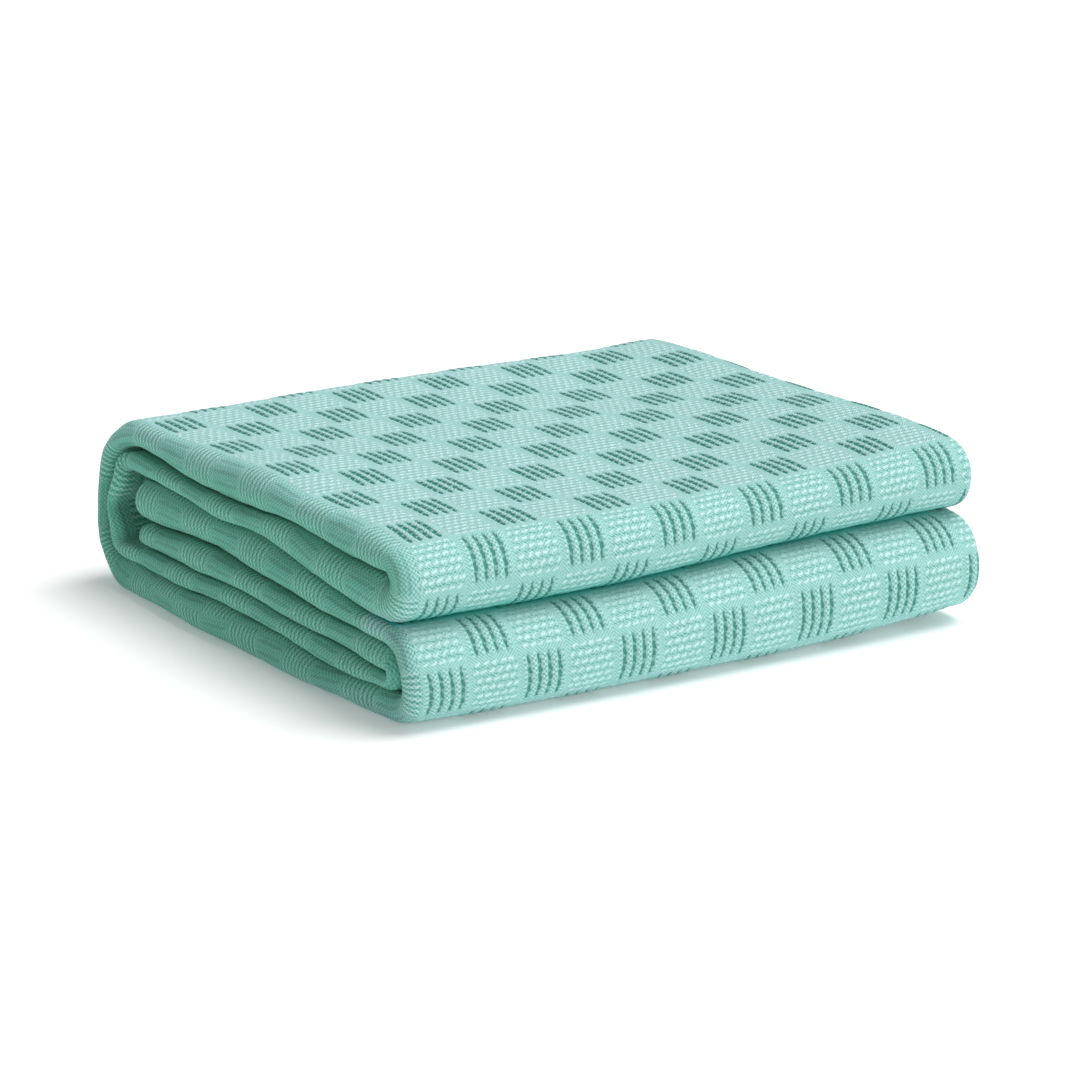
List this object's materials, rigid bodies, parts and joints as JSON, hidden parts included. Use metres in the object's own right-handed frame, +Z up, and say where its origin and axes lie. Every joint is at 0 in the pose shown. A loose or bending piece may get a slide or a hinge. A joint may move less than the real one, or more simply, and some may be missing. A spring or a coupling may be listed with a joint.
{
  "type": "gauze blanket",
  "caption": "Soft gauze blanket with an openwork check weave, folded in half twice across and then to and fro into a thick stack with two rounded folds at its front.",
  "frame": {"origin": "middle of the folded stack's outline seen from above, on the surface it lies on", "axes": "+Z up, -Y towards the two rounded front folds, +X along the front folds towards the stack's right end"},
  "size_m": [0.3552, 0.3506, 0.0963],
  "materials": {
    "gauze": "soft matt woven cotton"
  },
  "bodies": {
    "root": {"blanket": "gauze"}
  },
  "joints": []
}
